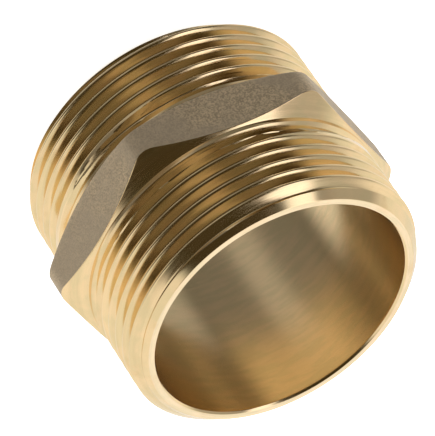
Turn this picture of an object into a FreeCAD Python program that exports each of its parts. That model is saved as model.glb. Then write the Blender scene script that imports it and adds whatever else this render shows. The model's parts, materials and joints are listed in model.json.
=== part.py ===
import FreeCAD, Part
import math
import os
import Sketcher

# Brass hex nipple, G 1 1/2 parallel thread on both ends.
# Frame: bore axis on Z, origin on that axis at half length, two hex corners on the X axis.

doc = FreeCAD.newDocument("hex_nipple")

# ---------------------------------------------------------------- sizes
SIZES = [
    # alias, value in mm or degrees, what it is
    ("totalLength", 39.6, "end face to end face"),
    ("majorDiameter", 47.803, "G 1 1/2 major diameter"),
    ("threadPitch", 2.309, "11 threads per inch"),
    ("threadDepth", 1.479, "Whitworth depth of thread"),
    ("rootRadius", 0.317, "Whitworth root radius"),
    ("flankAngle", 27.5, "half of the 55 degree thread angle"),
    ("boreDiameter", 41.0, "plain through bore"),
    ("boreDeburr", 0.3, "45 degree edge break of the bore"),
    ("endChamfer", 2.1, "45 degree lead chamfer in front of each thread"),
    ("hexFlats", 48.5, "width across the spanner flats"),
    ("hexCornerRadius", 3.4, "forged radius on the six corners"),
    ("shoulderHeight", 4.1, "mid plane to the foot of the hex chamfer"),
    ("hexChamferAngle", 28.5, "slope of the turned hex faces"),
    ("collarEnd", 4.85, "mid plane to the end of the plain collar"),
    ("reliefDepth", 1.2, "depth of the relief groove beside the collar"),
    ("reliefDrop", 0.6, "axial run of the relief wall on the collar"),
    ("reliefRise", 0.9, "axial run of the relief's slope up to the thread"),
    ("reliefEnd", 6.4, "mid plane to the thread end of the relief"),
    ("threadStartTop", 8.475, "height of a top crest line at zero degrees"),
    ("threadTurnBottom", -172.0, "turn of the bottom thread about the bore axis"),
    ("runoutAngle", 50.0, "turn over which the groove climbs out"),
    ("runoutEndAngle", -148.0, "where the top groove has climbed out"),
    ("runoutClearance", 0.12, "how far past the crest the groove climbs"),
    ("cutterOverlap", 0.25, "how far the groove section stands outside the crest"),
    ("turnsPastEnd", 1.3, "turns that the groove runs on past the end face"),
]

sheet = doc.addObject("Spreadsheet::Sheet", "sizes")
for row, (alias, value, meaning) in enumerate(SIZES, start=2):
    sheet.set("A%d" % row, meaning)
    sheet.set("B%d" % row, "%s" % value)
    sheet.setAlias("B%d" % row, alias)
doc.recompute()


def size(alias):
    """Value of one cell of the sheet."""
    return float(sheet.get(alias))


# ---------------------------------------------------------------- sketch helpers
def origin_plane(body, role):
    """The body's own origin plane with that role."""
    for feature in body.Origin.OriginFeatures:
        if feature.Role == role:
            return feature
    raise RuntimeError("no plane " + role)


def new_sketch(body, role, label):
    """A sketch lying on one of the body's origin planes."""
    sketch = body.newObject("Sketcher::SketchObject", label)
    sketch.AttachmentSupport = [(origin_plane(body, role), "")]
    sketch.MapMode = "FlatFace"
    return sketch


def tie_point(sketch, line, axis, value, expression, name):
    """Holds the start of a line at a signed distance from the origin, driven by the sheet."""
    if value >= 0:
        constraint = Sketcher.Constraint(axis, -1, 1, line, 1, value)
        drive = expression
    else:
        constraint = Sketcher.Constraint(axis, line, 1, -1, 1, -value)
        drive = "-(" + expression + ")"
    index = sketch.addConstraint(constraint)
    sketch.renameConstraint(index, name)
    sketch.setExpression("Constraints." + name, drive)


def closed_profile(sketch, corners):
    """Closed polygon; corners are (radius value, height value, radius formula, height formula)."""
    count = len(corners)
    first = sketch.GeometryCount
    for i in range(count):
        here = corners[i]
        after = corners[(i + 1) % count]
        start = FreeCAD.Vector(here[0], here[1], 0)
        end = FreeCAD.Vector(after[0], after[1], 0)
        sketch.addGeometry(Part.LineSegment(start, end), False)
    for i in range(count):
        following = first + (i + 1) % count
        sketch.addConstraint(Sketcher.Constraint("Coincident", first + i, 2, following, 1))
    for i, (radius, height, radius_formula, height_formula) in enumerate(corners):
        line = first + i
        tie_point(sketch, line, "DistanceX", radius, radius_formula, "radius%d" % line)
        tie_point(sketch, line, "DistanceY", height, height_formula, "height%d" % line)


# ---------------------------------------------------------------- forged and turned blank
blank = doc.addObject("PartDesign::Body", "blank")

major = size("majorDiameter") / 2
half = size("totalLength") / 2
shoulder = size("shoulderHeight")
slope = math.tan(math.radians(size("hexChamferAngle")))
vertex = size("hexFlats") / 2 / math.cos(math.radians(30))

# hexagon, two corners on X
hexagon = new_sketch(blank, "XY_Plane", "hexagon")
hexagon.addGeometry(Part.Circle(FreeCAD.Vector(0, 0, 0), FreeCAD.Vector(0, 0, 1), vertex), True)
hexagon.addConstraint(Sketcher.Constraint("Coincident", 0, 3, -1, 1))
for side in range(6):
    a = math.radians(60 * side)
    b = math.radians(60 * side + 60)
    start = FreeCAD.Vector(vertex * math.cos(a), vertex * math.sin(a), 0)
    end = FreeCAD.Vector(vertex * math.cos(b), vertex * math.sin(b), 0)
    hexagon.addGeometry(Part.LineSegment(start, end), False)
for side in range(6):
    hexagon.addConstraint(Sketcher.Constraint("Coincident", side + 1, 2, (side + 1) % 6 + 1, 1))
    hexagon.addConstraint(Sketcher.Constraint("PointOnObject", side + 1, 1, 0))
for side in range(1, 6):
    hexagon.addConstraint(Sketcher.Constraint("Equal", 1, side + 1))
hexagon.addConstraint(Sketcher.Constraint("PointOnObject", 1, 1, -1))
index = hexagon.addConstraint(Sketcher.Constraint("Radius", 0, vertex))
hexagon.renameConstraint(index, "cornerCircle")
hexagon.setExpression("Constraints.cornerCircle", "sizes.hexFlats / 2 / cos(30 deg)")

pad = blank.newObject("PartDesign::Pad", "hex_pad")
pad.Profile = hexagon
pad.Midplane = True
pad.setExpression("Length", "2 * sizes.shoulderHeight")
doc.recompute()

# the six corner edges run parallel to Z
corner_edges = []
for number, edge in enumerate(pad.Shape.Edges, start=1):
    ends = [v.Point for v in edge.Vertexes]
    if len(ends) == 2 and abs(ends[0].z - ends[1].z) > shoulder:
        corner_edges.append("Edge%d" % number)
corners = blank.newObject("PartDesign::Fillet", "hex_corners")
corners.Base = (pad, corner_edges)
corners.setExpression("Radius", "sizes.hexCornerRadius")
doc.recompute()

# turned faces of the hex: the metal above a cone is cut away on both sides
CUT_REACH = 40.0
CUT_HEIGHT = 10.0
cone_cut = new_sketch(blank, "XZ_Plane", "hex_face_cut")
SLOPE = "tan(sizes.hexChamferAngle * 1 deg)"
for sign in (1, -1):
    mark = "" if sign > 0 else "-1 * "
    drop = shoulder - (CUT_REACH - major) * slope
    low = "(sizes.shoulderHeight - (%s - sizes.majorDiameter / 2) * %s)" % (CUT_REACH, SLOPE)
    low_sign = sign * drop
    closed_profile(cone_cut, [
        (major, sign * shoulder, "sizes.majorDiameter / 2", mark + "sizes.shoulderHeight"),
        (CUT_REACH, low_sign, "%s" % CUT_REACH, mark + low),
        (CUT_REACH, sign * CUT_HEIGHT, "%s" % CUT_REACH, mark + "%s" % CUT_HEIGHT),
        (major, sign * CUT_HEIGHT, "sizes.majorDiameter / 2", mark + "%s" % CUT_HEIGHT),
    ])
groove = blank.newObject("PartDesign::Groove", "hex_faces")
groove.Profile = cone_cut
groove.ReferenceAxis = (cone_cut, ["V_Axis"])
groove.Angle = 360.0
doc.recompute()

# the tube: bore, end faces, lead chamfers, collars and reliefs
bore = size("boreDiameter") / 2
deburr = size("boreDeburr")
lead = size("endChamfer")
relief = major - size("reliefDepth")
drop = size("reliefDrop")
rise = size("reliefRise")
tube_profile = new_sketch(blank, "XZ_Plane", "tube_profile")
BORE = "sizes.boreDiameter / 2"
MAJOR = "sizes.majorDiameter / 2"
HALF = "sizes.totalLength / 2"
RELIEF = "(sizes.majorDiameter / 2 - sizes.reliefDepth)"
upper = [
    (bore, half - deburr, BORE, HALF + " - sizes.boreDeburr"),
    (bore + deburr, half, BORE + " + sizes.boreDeburr", HALF),
    (major - lead, half, MAJOR + " - sizes.endChamfer", HALF),
    (major, half - lead, MAJOR, HALF + " - sizes.endChamfer"),
    (major, size("reliefEnd"), MAJOR, "sizes.reliefEnd"),
    (relief, size("reliefEnd") - rise, RELIEF, "sizes.reliefEnd - sizes.reliefRise"),
    (relief, size("collarEnd") + drop, RELIEF, "sizes.collarEnd + sizes.reliefDrop"),
    (major, size("collarEnd"), MAJOR, "sizes.collarEnd"),
]
lower = [(r, -z, fr, "-1 * (" + fz + ")") for r, z, fr, fz in reversed(upper)]
closed_profile(tube_profile, upper + lower)
tube = blank.newObject("PartDesign::Revolution", "tube")
tube.Profile = tube_profile
tube.ReferenceAxis = (tube_profile, ["V_Axis"])
tube.Angle = 360.0
doc.recompute()

# the bore runs through the hex as well
bore_circle = new_sketch(blank, "XY_Plane", "bore_circle")
bore_circle.addGeometry(Part.Circle(FreeCAD.Vector(0, 0, 0), FreeCAD.Vector(0, 0, 1), bore), False)
bore_circle.addConstraint(Sketcher.Constraint("Coincident", 0, 3, -1, 1))
index = bore_circle.addConstraint(Sketcher.Constraint("Radius", 0, bore))
bore_circle.renameConstraint(index, "boreRadius")
bore_circle.setExpression("Constraints.boreRadius", BORE)
bore_cut = blank.newObject("PartDesign::Pocket", "bore_cut")
bore_cut.Profile = bore_circle
bore_cut.Midplane = True
bore_cut.setExpression("Length", "sizes.totalLength - 2 * sizes.boreDeburr")
blank.Tip = bore_cut
doc.recompute()


# ---------------------------------------------------------------- threads
def turned(shape, degrees, lift, flip=False):
    """Copy of a shape, flipped end for end about X if asked, then turned and lifted."""
    copy = shape.copy()
    if flip:
        copy.rotate(FreeCAD.Vector(0, 0, 0), FreeCAD.Vector(1, 0, 0), 180)
    copy.rotate(FreeCAD.Vector(0, 0, 0), FreeCAD.Vector(0, 0, 1), degrees)
    copy.translate(FreeCAD.Vector(0, 0, lift))
    return copy


def groove_section():
    """Whitworth groove seen in the XZ plane, centred on height zero, rounded at the root."""
    tangent = math.tan(math.radians(size("flankAngle")))
    pitch = size("threadPitch")
    depth = size("threadDepth")
    root = size("rootRadius")
    crest_flat = pitch / 6
    outer_half = (pitch - crest_flat) / 2
    overcut = size("cutterOverlap")
    # sharp tip of the flanks, then the tangent arc that rounds it at full depth
    sharp = major - outer_half / tangent
    angle = math.radians(size("flankAngle"))
    centre = major - depth + root
    touch_r = centre - root * math.sin(angle)
    touch_z = (touch_r - sharp) * tangent
    top = FreeCAD.Vector(major + overcut, 0, outer_half + overcut * tangent)
    bottom = FreeCAD.Vector(major + overcut, 0, -outer_half - overcut * tangent)
    upper_touch = FreeCAD.Vector(touch_r, 0, touch_z)
    lower_touch = FreeCAD.Vector(touch_r, 0, -touch_z)
    deepest = FreeCAD.Vector(major - depth, 0, 0)
    edges = [
        Part.LineSegment(top, upper_touch).toShape(),
        Part.Arc(upper_touch, deepest, lower_touch).toShape(),
        Part.LineSegment(lower_touch, bottom).toShape(),
        Part.LineSegment(bottom, top).toShape(),
    ]
    return Part.Wire(edges)


def swept(spine, section):
    """Solid made by carrying a section along a helix with its axis kept on Z."""
    sweep = Part.BRepOffsetAPI.MakePipeShell(Part.Wire(spine.Edges))
    sweep.setBiNormalMode(FreeCAD.Vector(0, 0, 1))
    sweep.add(section)
    sweep.build()
    sweep.makeSolid()
    return sweep.shape()


pitch = size("threadPitch")
full_angle = size("runoutEndAngle") + size("runoutAngle")
# the groove runs half a pitch below the crest line
full_lift = size("threadStartTop") - pitch / 2 + pitch * full_angle / 360
section = turned(groove_section(), full_angle, full_lift)

# full depth helix, from the climb-out to well past the end face
past_end = half + size("turnsPastEnd") * pitch
helix = turned(Part.makeLongHelix(pitch, past_end - full_lift, major), full_angle, full_lift)
full_groove = swept(helix, section)

# the climb-out goes on down the same helix while its radius grows by the depth of thread
climb_height = pitch * size("runoutAngle") / 360
climb_rise = size("threadDepth") + size("runoutClearance")
climb_slope = math.degrees(math.atan(climb_rise / climb_height))
climb = Part.makeLongHelix(pitch, climb_height, major, climb_slope)
climb_groove = swept(turned(climb, full_angle, full_lift, flip=True), section)

grooves = [
    ("top_climb_out", climb_groove, False),
    ("top_thread", full_groove, False),
    ("bottom_climb_out", climb_groove, True),
    ("bottom_thread", full_groove, True),
]
cuts = []
current = blank
for label, shape, flip in grooves:
    tool = doc.addObject("Part::Feature", label)
    tool.Shape = turned(shape, size("threadTurnBottom"), 0, flip=True) if flip else shape
    cut = doc.addObject("Part::Cut", label + "_cut")
    cut.Base = current
    cut.Tool = tool
    doc.recompute()
    print(label, tool.Shape.isValid(), round(tool.Shape.Volume, 1), tool.Shape.BoundBox)
    cuts.append(cut)
    current = cut
nipple = current
nipple.Label = "nipple_body"

# ---------------------------------------------------------------- checks and export
for item in doc.Objects:
    if "Invalid" in item.State or "Error" in item.State:
        raise RuntimeError("%s is %s" % (item.Label, item.State))
for item in [pad, corners, groove, tube, bore_cut] + cuts:
    print(item.Label, round(item.Shape.Volume, 1), item.Shape.isValid(), len(item.Shape.Solids))
if not corners.Shape.Volume < pad.Shape.Volume:
    raise RuntimeError("corner radius cut nothing")
if not groove.Shape.Volume < corners.Shape.Volume:
    raise RuntimeError("hex face cut nothing")
if not bore_cut.Shape.Volume < tube.Shape.Volume:
    raise RuntimeError("bore cut nothing")
before = bore_cut.Shape.Volume
for cut in cuts:
    if not cut.Shape.Volume < before - 0.5:
        raise RuntimeError("nothing cut by " + cut.Label)
    before = cut.Shape.Volume

os.makedirs("parts", exist_ok=True)
for part in (nipple,):
    shape = part.Shape
    if shape.isNull() or not shape.isValid() or len(shape.Solids) != 1:
        raise RuntimeError("bad shape for " + part.Label)
    shape.exportStep("parts/%s.step" % part.Label)
    box = shape.BoundBox
    print(part.Label, round(shape.Volume, 1), len(shape.Faces), "faces",
          [round(v, 3) for v in (box.XMin, box.XMax, box.YMin, box.YMax, box.ZMin, box.ZMax)])
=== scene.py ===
import json
import math

import bpy
import numpy as np
from mathutils import Matrix, Vector


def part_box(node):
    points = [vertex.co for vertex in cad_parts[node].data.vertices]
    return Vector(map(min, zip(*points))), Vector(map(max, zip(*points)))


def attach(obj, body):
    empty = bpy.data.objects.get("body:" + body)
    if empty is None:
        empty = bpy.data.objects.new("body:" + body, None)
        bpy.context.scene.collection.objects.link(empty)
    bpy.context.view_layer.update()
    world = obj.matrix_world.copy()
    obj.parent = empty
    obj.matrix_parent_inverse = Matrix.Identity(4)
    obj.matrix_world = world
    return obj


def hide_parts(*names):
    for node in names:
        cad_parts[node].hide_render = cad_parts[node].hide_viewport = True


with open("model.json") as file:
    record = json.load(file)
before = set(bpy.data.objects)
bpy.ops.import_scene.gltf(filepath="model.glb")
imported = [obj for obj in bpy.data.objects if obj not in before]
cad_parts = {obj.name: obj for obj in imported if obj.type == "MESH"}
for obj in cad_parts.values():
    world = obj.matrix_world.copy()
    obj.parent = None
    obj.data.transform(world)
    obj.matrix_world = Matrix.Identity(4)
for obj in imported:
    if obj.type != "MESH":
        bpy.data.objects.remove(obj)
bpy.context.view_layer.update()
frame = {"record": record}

bl_info = {
    "name": "Hex Nipple Looks",
    "version": (1, 0, 0),
    "blender": (4, 5, 0),
    "location": "View3D > Sidebar > Hex Nipple",
    "description": "Builds the brass skin of a hex pipe nipple round its packed frame, and a small studio",
    "category": "Object",
}

NODE = "nipple_body"
LOW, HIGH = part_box(NODE)
BORE = [m for m in frame["record"]["mounts"] if m["name"] == "through_bore"][0]["dims"]
MM = 0.001

# Whitworth thread, as shares of the pitch, and its flank measured from square to the axis
ROUNDING_SHARE = 0.137329
DEPTH_SHARE = 0.640327
FLANK = math.radians(27.5)
# how far past the crest a groove has climbed at the end of its run-out
RUNOUT_CLEARANCE = 0.12 * MM
# the rows round the relief run on this far into the thread
PAST_RELIEF = 0.2 * MM
# the skin keeps this far inside the flats and corners of the frame's solid
INSET = 0.003 * MM
# edge breaks: bore, end face and lead chamfer, then the hexagon's edge
END_BREAKS = (0.08 * MM, 0.06 * MM, 0.08 * MM)
HEX_BREAK = 0.07 * MM
HEX_NEAR = 0.3 * HEX_BREAK
# rows this far either side of each fold keep the relief's folds crisp
FOLD_GAP = 0.03 * MM
# points round the piece, and rows over the collar and relief
COLUMNS = 288
SIDE_ROWS = 26
# rows up the bore, and the share of its height that they cover
BORE_ROWS = 15
BORE_SHARE = 0.98
# places of the rows within a pitch, from the crest to the root
CREST_SHARES = (0.035, 0.075, 0.11, 0.135, 0.255, 0.37, 0.415, 0.46)
# places of the rows from the collar to the hexagon's edge, and from its upper edge to its lower
FACE_SHARES = (0.0, 0.12, 0.3, 0.5, 0.7, 0.88, 0.97)
FLAT_SHARES = (0.97, 0.75, 0.5, 0.25, 0.0, -0.25, -0.5, -0.75, -0.97)
# finishes, by material slot of the skin
TURNED, FORGED, SATIN = 0, 1, 2
# distance between points that count as one
WELD = 1e-8
# edges sharper than this show as creases
CREASE = math.radians(38)


# ------------------------------------------------------------------ settings
def length(name, description, default):
    """A size in metres."""
    return bpy.props.FloatProperty(name=name, description=description, default=default,
                                   precision=6, unit="LENGTH", subtype="DISTANCE")


def angle(name, description, degrees):
    """An angle, given in degrees and held in radians."""
    return bpy.props.FloatProperty(name=name, description=description,
                                   default=math.radians(degrees), subtype="ANGLE")


def colour(name, description, default):
    """A linear colour."""
    return bpy.props.FloatVectorProperty(name=name, description=description, size=3,
                                         default=default, min=0, max=1, subtype="COLOR")


def share(name, description, default):
    """A plain number from 0 up."""
    return bpy.props.FloatProperty(name=name, description=description, default=default, min=0)


class NippleSizes(bpy.types.PropertyGroup):
    """Sizes of the nipple; those the frame states are read from it."""
    half_length: length("Half length", "Middle plane to an end face", HIGH.z)
    flat_distance: length("Flat distance", "Bore axis to a spanner flat", HIGH.y)
    corner_radius: length("Corner radius", "Forged radius on the six corners", 3.4 * MM)
    bore_radius: length("Bore radius", "Radius of the plain bore", BORE["r_mm"] * MM)
    deburr: length("Deburr", "Edge break of the bore", 0.3 * MM)
    major_radius: length("Major radius", "Crest radius of the thread", 23.9015 * MM)
    pitch: length("Pitch", "Crest to crest", 2.309 * MM)
    lead: length("Lead chamfer", "45 degree chamfer in front of the thread", 2.1 * MM)
    shoulder: length("Shoulder", "Middle plane to the foot of the turned hex face", 4.1 * MM)
    face_slope: angle("Face slope", "Slope of the turned hex faces", 28.5)
    collar_end: length("Collar end", "Middle plane to the end of the plain collar", 4.85 * MM)
    relief_depth: length("Relief depth", "Depth of the relief beside the collar", 1.2 * MM)
    relief_drop: length("Relief drop", "Axial run of its wall at the collar", 0.6 * MM)
    relief_rise: length("Relief rise", "Axial run of its wall at the thread", 0.9 * MM)
    relief_end: length("Relief end", "Middle plane to the end of the relief at the thread", 6.4 * MM)
    crest_height: length("Crest height", "A top crest line at zero degrees", 8.475 * MM)
    bottom_turn: angle("Bottom turn", "Turn of the bottom thread about the bore axis", -172.0)
    runout_turn: angle("Run-out turn", "Turn over which the groove climbs out", 50.0)
    runout_end: angle("Run-out end", "Where the top groove has climbed out", -148.0)


class NippleFinish(bpy.types.PropertyGroup):
    """Colours and roughness of the three finishes."""
    turned_colour: colour("Turned brass", "Bright machined brass", (0.88, 0.69, 0.40))
    turned_roughness: share("Turned roughness", "Roughness of machined brass", 0.15)
    forged_colour: colour("Forged brass", "Matt blasted brass of the flats", (0.53, 0.415, 0.265))
    forged_roughness: share("Forged roughness", "Roughness of the flats", 0.55)
    bore_colour: colour("Bore brass", "Satin brass inside the bore", (0.79, 0.625, 0.375))
    bore_roughness: share("Bore roughness", "Roughness of the bore wall", 0.24)


class StudioSetup(bpy.types.PropertyGroup):
    """Camera and floor."""
    azimuth: angle("Camera azimuth", "Direction of the camera about the bore axis", -68.12)
    elevation: angle("Camera elevation", "Height of the camera over the end plane", 37.316)
    roll: angle("Camera roll", "Turn of the camera about its own view axis", 145.969)
    distance: length("Camera distance", "Camera to the point it looks at", 629.6 * MM)
    lens: share("Focal length", "In millimetres for a 36 mm wide sensor", 347.97)
    floor_colour: colour("Floor", "Plain pale floor", (0.93, 0.93, 0.93))


# ------------------------------------------------------------------ shape of the metal
def whitworth_depth(x, pitch):
    """Depth of a Whitworth groove at the axial distance x from its centre line.

    A root arc of 0.137329 pitch, a straight flank at 27.5 degrees from square, and a crest arc of
    the same radius; the full depth is 0.640327 pitch, and beyond half a pitch it is zero."""
    radius = ROUNDING_SHARE * pitch
    full = DEPTH_SHARE * pitch
    reach = radius * math.cos(FLANK)
    x = np.minimum(np.abs(x), pitch / 2)
    root = full - radius + np.sqrt(np.maximum(radius**2 - np.minimum(x, reach)**2, 0))
    start = full - radius * (1 - math.sin(FLANK))
    straight = start - (x - reach) / math.tan(FLANK)
    away = np.minimum(pitch / 2 - x, reach)
    crest = radius - np.sqrt(np.maximum(radius**2 - away**2, 0))
    return np.where(x < reach, root, np.where(x < pitch / 2 - reach, straight, crest))


def groove_depth(theta, height, s):
    """Depth of the helical groove of the top thread at an angle and a height.

    The centre line climbs one pitch a turn. The nearest turn is found by rounding, and near its
    lower end the whole section is lifted outwards in proportion to the angle left to run."""
    centre = s.crest_height - s.pitch / 2
    turn = np.round((height - centre) / s.pitch - theta / (2 * math.pi))
    unwound = theta + 2 * math.pi * turn
    x = height - centre - s.pitch * unwound / (2 * math.pi)
    left = np.clip((unwound - s.runout_end) / s.runout_turn, 0, 1)
    lift = (DEPTH_SHARE * s.pitch + RUNOUT_CLEARANCE) * (1 - left)
    return np.maximum(whitworth_depth(x, s.pitch) - lift, 0)


def turned_radius(height, s):
    """Radius of the turned blank at a distance from the middle plane: collar, relief, full
    diameter, then the 45 degree lead chamfer."""
    heights = [0, s.collar_end, s.collar_end + s.relief_drop, s.relief_end - s.relief_rise,
               s.relief_end, s.half_length - s.lead, s.half_length]
    low = s.major_radius - s.relief_depth
    radii = [s.major_radius, s.major_radius, low, low, s.major_radius, s.major_radius,
             s.major_radius - s.lead]
    return np.interp(height, heights, radii)


def threaded_radius(theta, z, s):
    """Outer radius on either side of the hexagon. The bottom thread is the top one turned end
    for end about X and then about the bore axis, so its angle runs the other way."""
    theta_top = np.where(z > 0, theta, s.bottom_turn - theta)
    cut = s.major_radius - groove_depth(theta_top, np.abs(z), s)
    return np.minimum(turned_radius(np.abs(z), s), cut)


def hexagon_radius(theta, s):
    """Distance from the bore axis to a hexagon with rounded corners, two of them on X.

    On a flat it is flat_distance / cos(angle from the flat's middle); near a corner it is the far
    crossing of the ray with the corner's circle."""
    sixth = math.pi / 3
    from_corner = np.abs((theta + sixth / 2) % sixth - sixth / 2)
    flat = s.flat_distance / np.cos(sixth / 2 - from_corner)
    centre = (s.flat_distance - s.corner_radius) / math.cos(sixth / 2)
    touch = math.atan2(s.corner_radius * math.sin(sixth / 2),
                       centre + s.corner_radius * math.cos(sixth / 2))
    inside = np.maximum(s.corner_radius**2 - (centre * np.sin(from_corner))**2, 0)
    arc = centre * np.cos(from_corner) + np.sqrt(inside)
    return np.where(from_corner < touch, arc, flat) - INSET


class Skin:
    """Rows of points round the bore axis, welded into one closed mesh."""

    def __init__(self):
        self.theta = np.linspace(0, 2 * math.pi, COLUMNS + 1)
        self.rows = []
        self.zones = []

    def add(self, radius, height, zone):
        """One row; zone is the finish between it and the next row."""
        one = np.ones_like(self.theta)
        self.rows.append((radius * one, height * one))
        self.zones.append(zone)

    def mesh(self, name):
        """Grid of rows times columns, closed both ways. Points that fall together are welded
        and the faces they flatten are left out."""
        radius = np.array([row[0] for row in self.rows])
        height = np.array([row[1] for row in self.rows])
        turn = self.theta.copy()
        turn[-1] = 0.0
        points = np.stack([radius * np.cos(turn), radius * np.sin(turn), height], -1)
        count, width = radius.shape
        keys = np.round(points.reshape(-1, 3) / WELD).astype(np.int64)
        _, first, welded = np.unique(keys, axis=0, return_index=True, return_inverse=True)
        welded = welded.reshape(count, width)
        here, there = welded, np.roll(welded, -1, axis=0)
        a, b = here[:, :-1], here[:, 1:]
        c, d = there[:, 1:], there[:, :-1]
        triangles = np.concatenate([np.stack([a, d, c], -1).reshape(-1, 3),
                                    np.stack([a, c, b], -1).reshape(-1, 3)])
        zone = np.repeat(np.array(self.zones), width - 1)
        zone = np.concatenate([zone, zone])
        whole = ((triangles[:, 0] != triangles[:, 1]) & (triangles[:, 1] != triangles[:, 2])
                 & (triangles[:, 2] != triangles[:, 0]))
        triangles, zone = triangles[whole], zone[whole]
        place = points.reshape(-1, 3)[first]
        mesh = bpy.data.meshes.new(name)
        mesh.vertices.add(len(place))
        mesh.vertices.foreach_set("co", place.ravel().astype(np.float32))
        mesh.loops.add(triangles.size)
        mesh.loops.foreach_set("vertex_index", triangles.ravel().astype(np.int32))
        mesh.polygons.add(len(triangles))
        mesh.polygons.foreach_set("loop_start", np.arange(0, triangles.size, 3, dtype=np.int32))
        mesh.polygons.foreach_set("material_index", zone.astype(np.int32))
        mesh.update(calc_edges=True)
        mesh.validate()
        if len(mesh.edges) * 2 != len(mesh.polygons) * 3:
            raise RuntimeError("the skin isn't closed: %d edges, %d faces"
                               % (len(mesh.edges), len(mesh.polygons)))
        return mesh


def helical_rows(skin, s, sign, start, end):
    """Rows between two distances from the middle plane that follow the thread, so that each
    crest and root is one line.

    A row's height climbs a pitch a turn and is held at the two ends of its zone."""
    if sign > 0:
        zone_low, zone_high = start, end
        crest = s.crest_height
    else:
        zone_low, zone_high = -end, -start
        crest = -s.crest_height - s.pitch * s.bottom_turn / (2 * math.pi)
    shares = sorted({0.0, 0.5} | {v for f in CREST_SHARES for v in (f, 1 - f)})
    climb = s.pitch * skin.theta / (2 * math.pi)
    lowest = math.floor((zone_low - s.pitch - crest) / s.pitch)
    highest = math.ceil((zone_high - crest) / s.pitch)
    heights = [crest + (turn + part) * s.pitch
               for turn in range(lowest, highest + 1) for part in shares]
    heights = [h for h in heights if zone_low - s.pitch < h < zone_high]
    for h in sorted(heights, reverse=True):
        z = np.clip(h + climb, zone_low, zone_high)
        skin.add(threaded_radius(skin.theta, z, s), z, TURNED)


def rounded_corner(before, corner, after, radius, steps=3):
    """Points of a small arc in place of a sharp corner of the profile, by the quadratic curve
    whose ends lie at that distance along both sides."""
    before, corner, after = (np.array(p, float) for p in (before, corner, after))
    start = corner + (before - corner) / np.linalg.norm(before - corner) * radius
    end = corner + (after - corner) / np.linalg.norm(after - corner) * radius
    t = np.linspace(0, 1, steps + 1)[:, None]
    return (1 - t)**2 * start + 2 * t * (1 - t) * corner + t**2 * end


def end_rows(s):
    """Profile of the upper end from the bore to the lead chamfer, with small edge breaks."""
    bore, half = s.bore_radius, s.half_length
    corners = [(bore, 0), (bore, half - s.deburr), (bore + s.deburr, half),
               (s.major_radius - s.lead, half), (s.major_radius, half - s.lead)]
    return [rounded_corner(corners[i - 1], corners[i], corners[i + 1], size)
            for i, size in enumerate(END_BREAKS, start=1)]


def side_rows(skin, s, sign):
    """Rows from the thread down to the foot of the hexagon's turned face, or back up again."""
    even = list(np.linspace(s.shoulder, s.relief_end + PAST_RELIEF, SIDE_ROWS))
    folds = [s.collar_end, s.collar_end + s.relief_drop, s.relief_end - s.relief_rise,
             s.relief_end]
    extra = [fold + gap for fold in folds for gap in (-FOLD_GAP, 0, FOLD_GAP)]
    for h in sorted(set(even[1:] + extra), reverse=sign > 0):
        z = np.full_like(skin.theta, sign * h)
        skin.add(threaded_radius(skin.theta, z, s), z, TURNED)


def hexagon_rows(skin, s):
    """Turned upper face, forged flats and turned lower face of the hexagon.

    A face row runs a share of the way from the collar out to the hexagon's edge on the cone; a
    flat row runs a share of the way from the upper edge to the lower one."""
    slope = math.tan(s.face_slope)
    edge = hexagon_radius(skin.theta, s)
    edge_height = s.shoulder - slope * (edge - s.major_radius)
    for part in FACE_SHARES:
        radius = s.major_radius + part * (edge - s.major_radius)
        skin.add(radius, s.shoulder - slope * (radius - s.major_radius), TURNED)
    skin.add(edge - HEX_BREAK, edge_height + HEX_BREAK * slope, TURNED)
    skin.add(edge - HEX_NEAR, edge_height - HEX_NEAR, TURNED)
    for part in FLAT_SHARES:
        skin.add(edge, edge_height * part, FORGED)
    skin.add(edge - HEX_NEAR, -(edge_height - HEX_NEAR), TURNED)
    skin.add(edge - HEX_BREAK, -(edge_height + HEX_BREAK * slope), TURNED)
    for part in reversed(FACE_SHARES):
        radius = s.major_radius + part * (edge - s.major_radius)
        skin.add(radius, -(s.shoulder - slope * (radius - s.major_radius)), TURNED)


def nipple_mesh(s):
    """The whole skin: up the bore, over the top end, down the outside, under and back."""
    skin = Skin()
    arcs = end_rows(s)
    for part in np.linspace(-BORE_SHARE, BORE_SHARE, BORE_ROWS):
        skin.add(s.bore_radius, part * (s.half_length - s.deburr - END_BREAKS[0]), SATIN)
    for arc in arcs:
        for radius, height in arc:
            skin.add(radius, height, TURNED)
    start = s.relief_end + PAST_RELIEF
    end = arcs[-1][-1][1]
    helical_rows(skin, s, 1, start, end)
    side_rows(skin, s, 1)
    hexagon_rows(skin, s)
    side_rows(skin, s, -1)
    helical_rows(skin, s, -1, start, end)
    for arc in reversed(arcs):
        for radius, height in reversed(arc):
            skin.add(radius, -height, TURNED)
    return skin.mesh("nipple_skin")


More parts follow.
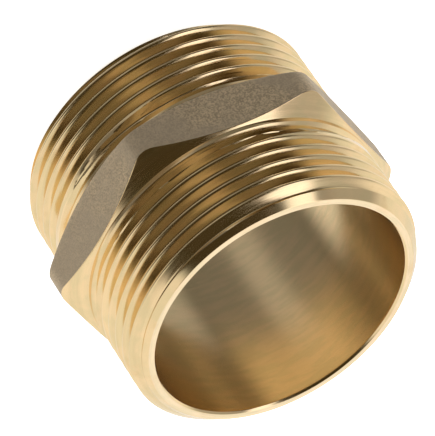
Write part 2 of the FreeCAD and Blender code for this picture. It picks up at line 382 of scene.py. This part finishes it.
# ------------------------------------------------------------------ finishes
class Nodes:
    """Short way to lay out a material's nodes."""

    def __init__(self, tree):
        self.tree = tree
        tree.nodes.clear()

    def put(self, kind, **settings):
        """A new node with its settings."""
        node = self.tree.nodes.new(kind)
        for key, value in settings.items():
            setattr(node, key, value)
        return node

    def feed(self, node, **inputs):
        """Sets or links sockets. A key is a socket's name with underscores for its spaces, or i
        and the socket's number."""
        for key, value in inputs.items():
            name = key.replace("_", " ")
            socket = node.inputs[int(key[1:])] if key[0] == "i" and key[1:].isdigit() else (
                node.inputs[name])
            if isinstance(value, bpy.types.NodeSocket):
                self.tree.links.new(value, socket)
            else:
                socket.default_value = value
        return node

    def math(self, operation, a, b=0.0):
        """Result of a Math node."""
        node = self.put("ShaderNodeMath", operation=operation)
        self.feed(node, i0=a, i1=b)
        return node.outputs[0]

    def noise(self, vector, scale, detail=2.0, roughness=0.5):
        """Value of a noise texture."""
        node = self.put("ShaderNodeTexNoise")
        self.feed(node, Vector=vector, Scale=scale, Detail=detail, Roughness=roughness)
        return node.outputs[0]

    def spread(self, value, low, high, out_low, out_high):
        """A value mapped from one range to another and held within it."""
        node = self.put("ShaderNodeMapRange", interpolation_type="SMOOTHSTEP")
        self.feed(node, i0=value, i1=low, i2=high, i3=out_low, i4=out_high)
        return node.outputs[0]

    def mix(self, factor, a, b):
        """Colour between a and b."""
        node = self.put("ShaderNodeMix", data_type="RGBA")
        self.feed(node, i0=factor, i6=a, i7=b)
        return node.outputs[2]


def tint(rgb, gain=1.0):
    """Four numbers for a colour socket."""
    return tuple(min(1.0, c * gain) for c in rgb) + (1.0,)


def scaled(nodes, vector, factors):
    """A vector times three factors."""
    node = nodes.put("ShaderNodeVectorMath", operation="MULTIPLY")
    nodes.feed(node, i0=vector, i1=factors)
    return node.outputs[0]


def turning_coordinate(nodes):
    """Point whose third number runs along the turned profile: height plus radius. The first two
    run slowly round the piece, so a noise on it gives lathe marks."""
    place = nodes.put("ShaderNodeTexCoord").outputs["Object"]
    flat = scaled(nodes, place, (1, 1, 0))
    radius = nodes.put("ShaderNodeVectorMath", operation="LENGTH")
    nodes.feed(radius, i0=flat)
    apart = nodes.put("ShaderNodeSeparateXYZ")
    nodes.feed(apart, i0=place)
    along = nodes.math("ADD", apart.outputs[2], radius.outputs["Value"])
    joined = nodes.put("ShaderNodeCombineXYZ")
    nodes.feed(joined, i0=apart.outputs[0], i1=apart.outputs[1], i2=along)
    return place, joined.outputs[0]


# Noise scales per metre. Of three numbers the last runs along the turned profile; one number is
# the same all ways
RING_SCALE = (60, 60, 9000)
STREAK_SCALE = (230, 230, 1100)
BROAD_SCALE = (30, 30, 2400)
STAIN_SCALE = 160.0
GRAIN_SCALE = 3600.0
COARSE_SCALE = 1500.0
CLOUD_SCALE = 110.0
# Ranges of noise that each pattern is spread over
STAIN_RANGE = (0.56, 0.74)
STREAK_RANGE = (0.38, 0.62)
DULL_RANGE = (0.36, 0.64)
ROUGH_RANGE = (0.3, 0.7)
GRAIN_RANGE = (0.35, 0.65)
CLOUD_RANGE = (0.4, 0.62)
# Tones, as factors of a finish's colour
OLIVE = (0.95, 0.94, 0.88)
ORANGE = (1.05, 0.99, 0.94)
STAINED = (0.93, 0.8, 0.66)
COOLER = (0.86, 0.88, 0.96)
DULL_GAIN = 0.35
PIT_GAIN = 0.68
PEAK_GAIN = 1.3
# How much of each pattern shows
STAIN_TINT = 2.0
STAIN_ROUGHNESS = 0.3
DULL_SHARE = 0.5
CLOUD_SHARE = 0.6
GRAIN_SHARE = 0.8
COARSE_SHARE = 0.2
# Roughness and colour stray this far on turned brass and in the bore
TURNED_VARIATION = 0.22
BORE_VARIATION = 0.05
TURNED_ANISOTROPY = 0.35
FORGED_METALLIC = 0.85
FORGED_STRAY = 0.15
# Heights of the bumps
GRAIN_HEIGHT = 0.08 * MM
TURNED_MARKS_HEIGHT = 0.004 * MM
BORE_MARKS_HEIGHT = 0.0006 * MM


def toned(base, tone):
    """A colour socket's value: a colour times a tone's three factors."""
    return tint([part * factor for part, factor in zip(base, tone)])


def brass(name, base, roughness, marks_height, variation, anisotropy):
    """Turned metal. Noise on the turning coordinate gives lathe marks (rings), duller rings
    (broad) and streaks of olive and orange; slow noise gives tarnish (stain). Variation is how
    far roughness and colour stray, and anisotropy stretches the gloss by the turning."""
    material = bpy.data.materials.new(name)
    material.use_nodes = True
    nodes = Nodes(material.node_tree)
    place, turning = turning_coordinate(nodes)
    rings = nodes.noise(scaled(nodes, turning, RING_SCALE), 1.0, 3.0, 0.6)
    slow = nodes.noise(place, STAIN_SCALE, 3.0, 0.6)
    stain = nodes.spread(slow, *STAIN_RANGE, 0.0, 1.0)
    streak = nodes.noise(scaled(nodes, turning, STREAK_SCALE), 1.0, 2.0, 0.5)
    warm = nodes.mix(nodes.spread(streak, *STREAK_RANGE, 0.0, 1.0),
                     toned(base, OLIVE), toned(base, ORANGE))
    worn = nodes.mix(nodes.math("MULTIPLY", stain, variation * STAIN_TINT), warm,
                     toned(base, STAINED))
    broad = nodes.noise(scaled(nodes, turning, BROAD_SCALE), 1.0, 2.0, 0.5)
    dull = nodes.spread(broad, *DULL_RANGE, 0.0, variation * DULL_SHARE)
    final = nodes.mix(dull, worn, tint(base, DULL_GAIN))
    rough = nodes.math("ADD", nodes.spread(rings, *ROUGH_RANGE, roughness * (1 - variation),
                                           roughness * (1 + variation)),
                       nodes.math("MULTIPLY", stain, variation * STAIN_ROUGHNESS))
    bump = nodes.put("ShaderNodeBump")
    nodes.feed(bump, Strength=1.0, Distance=marks_height, Height=rings)
    shader = nodes.put("ShaderNodeBsdfPrincipled")
    nodes.feed(shader, Base_Color=final, Metallic=1.0, Roughness=rough, Normal=bump.outputs[0])
    if anisotropy:
        tangent = nodes.put("ShaderNodeTangent", direction_type="RADIAL", axis="Z")
        nodes.feed(shader, Anisotropic=anisotropy, Tangent=tangent.outputs[0])
    out = nodes.put("ShaderNodeOutputMaterial")
    nodes.feed(out, Surface=shader.outputs[0])
    return material


def forged(name, base, roughness):
    """Blasted forging skin: fine pits, mottled colour, no direction."""
    material = bpy.data.materials.new(name)
    material.use_nodes = True
    nodes = Nodes(material.node_tree)
    place = nodes.put("ShaderNodeTexCoord").outputs["Object"]
    grain = nodes.noise(place, GRAIN_SCALE, 2.0, 0.6)
    coarse = nodes.noise(place, COARSE_SCALE, 3.0, 0.6)
    cloud = nodes.noise(place, CLOUD_SCALE, 2.0, 0.5)
    both = nodes.math("ADD", nodes.math("MULTIPLY", grain, GRAIN_SHARE),
                      nodes.math("MULTIPLY", coarse, COARSE_SHARE))
    shade = nodes.mix(nodes.spread(both, *GRAIN_RANGE, 0.0, 1.0),
                      tint(base, PIT_GAIN), tint(base, PEAK_GAIN))
    final = nodes.mix(nodes.spread(cloud, *CLOUD_RANGE, 0.0, CLOUD_SHARE), shade,
                      toned(base, COOLER))
    bump = nodes.put("ShaderNodeBump")
    nodes.feed(bump, Strength=1.0, Distance=GRAIN_HEIGHT, Height=both)
    shader = nodes.put("ShaderNodeBsdfPrincipled")
    rough = nodes.spread(grain, *ROUGH_RANGE, roughness * (1 - FORGED_STRAY),
                         roughness * (1 + FORGED_STRAY))
    nodes.feed(shader, Base_Color=final, Metallic=FORGED_METALLIC, Roughness=rough,
               Normal=bump.outputs[0])
    out = nodes.put("ShaderNodeOutputMaterial")
    nodes.feed(out, Surface=shader.outputs[0])
    return material


# ------------------------------------------------------------------ operators
class HEXNIPPLE_OT_make_body(bpy.types.Operator):
    """Build the brass nipple: threads, lead chamfers, hexagon and bore as one closed skin"""
    bl_idname = "hexnipple.make_body"
    bl_label = "Make Nipple"

    def execute(self, context):
        sizes = context.scene.nipple_sizes
        finish = context.scene.nipple_finish
        mesh = nipple_mesh(sizes)
        mesh.materials.append(brass("turned_brass", finish.turned_colour, finish.turned_roughness,
                                    TURNED_MARKS_HEIGHT, TURNED_VARIATION, TURNED_ANISOTROPY))
        mesh.materials.append(forged("forged_flats", finish.forged_colour,
                                     finish.forged_roughness))
        mesh.materials.append(brass("bore_satin", finish.bore_colour, finish.bore_roughness,
                                    BORE_MARKS_HEIGHT, BORE_VARIATION, 0.0))
        mesh.polygons.foreach_set("use_smooth", np.ones(len(mesh.polygons), bool))
        mesh.set_sharp_from_angle(angle=CREASE)
        piece = bpy.data.objects.new("nipple_skin", mesh)
        context.scene.collection.objects.link(piece)
        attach(piece, "root")
        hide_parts(NODE)
        return {"FINISHED"}


def direction(azimuth, elevation):
    """Unit vector at an azimuth and elevation, in radians."""
    return Vector((math.cos(elevation) * math.cos(azimuth),
                   math.cos(elevation) * math.sin(azimuth), math.sin(elevation)))


def facing(back, roll, place):
    """Matrix of something at a place that looks against back, turned by roll about it."""
    right = Vector((0, 0, 1)).cross(back).normalized()
    up = back.cross(right)
    right_turned = right * math.cos(roll) + up * math.sin(roll)
    up_turned = up * math.cos(roll) - right * math.sin(roll)
    turn = Matrix((right_turned, up_turned, back)).transposed().to_4x4()
    return Matrix.Translation(place) @ turn


def overhead_light(scene):
    """Square soft light over the nipple that brightens the floor and shows in no reflection."""
    light = bpy.data.lights.new("floor_light", "AREA")
    light.shape = "RECTANGLE"
    light.size = OVERHEAD_SIZE
    light.size_y = OVERHEAD_SIZE
    light.energy = OVERHEAD_WATTS
    lamp = bpy.data.objects.new("floor_light", light)
    back = direction(0.0, OVERHEAD_ELEVATION)
    lamp.matrix_world = facing(back, 0.0, back * OVERHEAD_DISTANCE)
    lamp.visible_glossy = False
    scene.collection.objects.link(lamp)


# The overhead light leans a little, because straight up has no side to turn about
OVERHEAD_ELEVATION = math.radians(89.9)
OVERHEAD_DISTANCE = 1.4
OVERHEAD_SIZE = 1.6
OVERHEAD_WATTS = 20.0
# Light round the nipple, by direction seen from the camera: right, up, towards the camera.
# Round patches: direction, angle to the middle of the edge, width of the soft edge, brightness
PATCHES = (
    ("table", (0.0, -0.5, -0.866), 85, 24, 1.0),
    ("top_wall", (0.40, 0.80, -0.45), 26, 24, 0.5),
    ("upper_right", (0.75, 0.62, -0.25), 22, 20, 0.75),
    ("right_wall", (0.996, 0.08, 0.035), 25, 30, 0.45),
    ("left_wall", (-0.54, 0.80, 0.265), 52, 30, 0.27),
    ("low_left", (-0.60, -0.75, 0.28), 37, 12, 0.95),
    ("low_front", (-0.20, -0.93, 0.10), 30, 6, 0.95),
    ("low_right", (0.85, -0.50, 0.0), 30, 20, 0.5),
)
# Long boxes: middle, direction across, half width, half length, width of the soft edge, colour
STRIPS = (
    ("right_box", (0.77, -0.12, 0.60), (-0.6133, -0.3071, 0.7275), 8.5, 42, 3, (1.6, 1.6, 1.8)),
    ("end_glow", (0.54, -0.80, -0.27), (1.0, 0.0, 0.0), 15, 15, 10, (1.15, 1.2, 1.4)),
    ("left_box", (-0.58, 0.77, 0.26), (0.6, 0.65, -0.45), 9.0, 32, 8, (0.50, 0.50, 0.50)),
)
# Colour of the room where no patch shines
DIM = (0.052, 0.040, 0.018)
# Patches dimmer than this blend into it
DIM_UNDER = 0.4
# Floor: half its width and points along a side, then its finish
FLOOR_REACH = 1.5
FLOOR_POINTS = 9
FLOOR_ROUGHNESS = 0.8
FLOOR_SPECULAR = 0.1
FLOOR_GLOW = 0.92
# Point that the camera looks at
AIM = Vector((0.410, -0.422, -0.714)) * MM
SENSOR_WIDTH = 36.0
CLIP_START = 0.01


def surroundings(scene, pose):
    """World of the studio. A patch is a smooth step of the angle between the line of sight and
    its direction; a strip is the product of two such steps, across and along it."""
    world = bpy.data.worlds.new("studio")
    world.use_nodes = True
    scene.world = world
    nodes = Nodes(world.node_tree)
    sight = nodes.put("ShaderNodeTexCoord").outputs["Generated"]
    frame_of_camera = pose.to_3x3()

    def closeness(way):
        toward = nodes.put("ShaderNodeVectorMath", operation="DOT_PRODUCT")
        turned = frame_of_camera @ Vector(way).normalized()
        nodes.feed(toward, i0=sight, i1=tuple(turned))
        return toward.outputs["Value"]

    def within(value, reach, soft):
        """One where the sine of the angle is under the reach, falling to nought past it."""
        inner = math.sin(math.radians(reach - soft / 2))
        outer = math.sin(math.radians(reach + soft / 2))
        return nodes.spread(nodes.math("ABSOLUTE", value), inner, outer, 1.0, 0.0)

    total = 0.0
    for _, way, reach, soft, brightness in PATCHES:
        outer = math.cos(math.radians(reach + soft / 2))
        inner = math.cos(math.radians(max(reach - soft / 2, 0)))
        patch = nodes.spread(closeness(way), outer, inner, 0.0, brightness)
        total = nodes.math("MAXIMUM", patch, total)
    light = nodes.put("ShaderNodeCombineColor")
    nodes.feed(light, i0=total, i1=total, i2=total)
    light = nodes.mix(nodes.spread(total, 0.0, DIM_UNDER, 0.0, 1.0), DIM + (1.0,), light.outputs[0])
    for _, way, across, width, reach, soft, shine in STRIPS:
        middle = Vector(way).normalized()
        across = (Vector(across) - middle * Vector(across).dot(middle)).normalized()
        ahead = nodes.math("GREATER_THAN", closeness(middle), 0.0)
        inside = nodes.math("MULTIPLY", within(closeness(across), width, soft),
                            within(closeness(middle.cross(across)), reach, soft))
        light = nodes.mix(nodes.math("MULTIPLY", inside, ahead), light, shine + (1.0,))
    back = nodes.put("ShaderNodeBackground")
    nodes.feed(back, Color=light, Strength=1.0)
    out = nodes.put("ShaderNodeOutputWorld")
    nodes.feed(out, Surface=back.outputs[0])


class HEXNIPPLE_OT_make_stage(bpy.types.Operator):
    """Lay the pale floor, set the soft lights and place the camera"""
    bl_idname = "hexnipple.make_stage"
    bl_label = "Make Stage"

    def execute(self, context):
        scene = context.scene
        studio = scene.nipple_studio
        sizes = scene.nipple_sizes
        # floor: a square of points on a plane under the lower end face
        edge = np.linspace(-FLOOR_REACH, FLOOR_REACH, FLOOR_POINTS)
        across, along = np.meshgrid(edge, edge, indexing="ij")
        level = np.full_like(across, -sizes.half_length)
        points = np.stack([across, along, level], -1).reshape(-1, 3)
        index = np.arange(FLOOR_POINTS**2).reshape(FLOOR_POINTS, FLOOR_POINTS)
        faces = np.stack([index[:-1, :-1], index[1:, :-1], index[1:, 1:], index[:-1, 1:]], -1)
        mesh = bpy.data.meshes.new("pale_floor")
        mesh.from_pydata(points.tolist(), [], faces.reshape(-1, 4).tolist())
        material = bpy.data.materials.new("pale_floor")
        material.use_nodes = True
        shader = material.node_tree.nodes["Principled BSDF"]
        shader.inputs["Base Color"].default_value = tint(studio.floor_colour)
        shader.inputs["Roughness"].default_value = FLOOR_ROUGHNESS
        shader.inputs["Specular IOR Level"].default_value = FLOOR_SPECULAR
        shader.inputs["Emission Color"].default_value = tint(studio.floor_colour)
        shader.inputs["Emission Strength"].default_value = FLOOR_GLOW
        mesh.materials.append(material)
        floor = bpy.data.objects.new("pale_floor", mesh)
        floor.visible_glossy = False
        scene.collection.objects.link(floor)
        back = direction(studio.azimuth, studio.elevation)
        pose = facing(back, studio.roll, AIM + back * studio.distance)
        surroundings(scene, pose)
        overhead_light(scene)
        camera = bpy.data.cameras.new("camera")
        camera.sensor_width = SENSOR_WIDTH
        camera.lens = studio.lens
        camera.clip_start = CLIP_START
        eye = bpy.data.objects.new("camera", camera)
        eye.matrix_world = pose
        scene.collection.objects.link(eye)
        scene.camera = eye
        scene.view_settings.view_transform = "Standard"
        return {"FINISHED"}


class HEXNIPPLE_PT_panel(bpy.types.Panel):
    """Sidebar list of the steps"""
    bl_label = "Hex Nipple"
    bl_idname = "HEXNIPPLE_PT_panel"
    bl_space_type = "VIEW_3D"
    bl_region_type = "UI"
    bl_category = "Hex Nipple"

    def draw(self, context):
        for step in (HEXNIPPLE_OT_make_body, HEXNIPPLE_OT_make_stage):
            self.layout.operator(step.bl_idname)
        for group in (context.scene.nipple_sizes, context.scene.nipple_finish,
                      context.scene.nipple_studio):
            for key in group.__annotations__:
                self.layout.prop(group, key)


CLASSES = (NippleSizes, NippleFinish, StudioSetup, HEXNIPPLE_OT_make_body,
           HEXNIPPLE_OT_make_stage, HEXNIPPLE_PT_panel)


def register():
    """Adds the classes and their settings to Blender."""
    for item in CLASSES:
        bpy.utils.register_class(item)
    bpy.types.Scene.nipple_sizes = bpy.props.PointerProperty(type=NippleSizes)
    bpy.types.Scene.nipple_finish = bpy.props.PointerProperty(type=NippleFinish)
    bpy.types.Scene.nipple_studio = bpy.props.PointerProperty(type=StudioSetup)


def unregister():
    """Takes them out again."""
    del bpy.types.Scene.nipple_sizes
    del bpy.types.Scene.nipple_finish
    del bpy.types.Scene.nipple_studio
    for item in reversed(CLASSES):
        bpy.utils.unregister_class(item)


def main():
    register()
    bpy.ops.hexnipple.make_stage()
    bpy.ops.hexnipple.make_body()


if __name__ == "__main__":
    main()
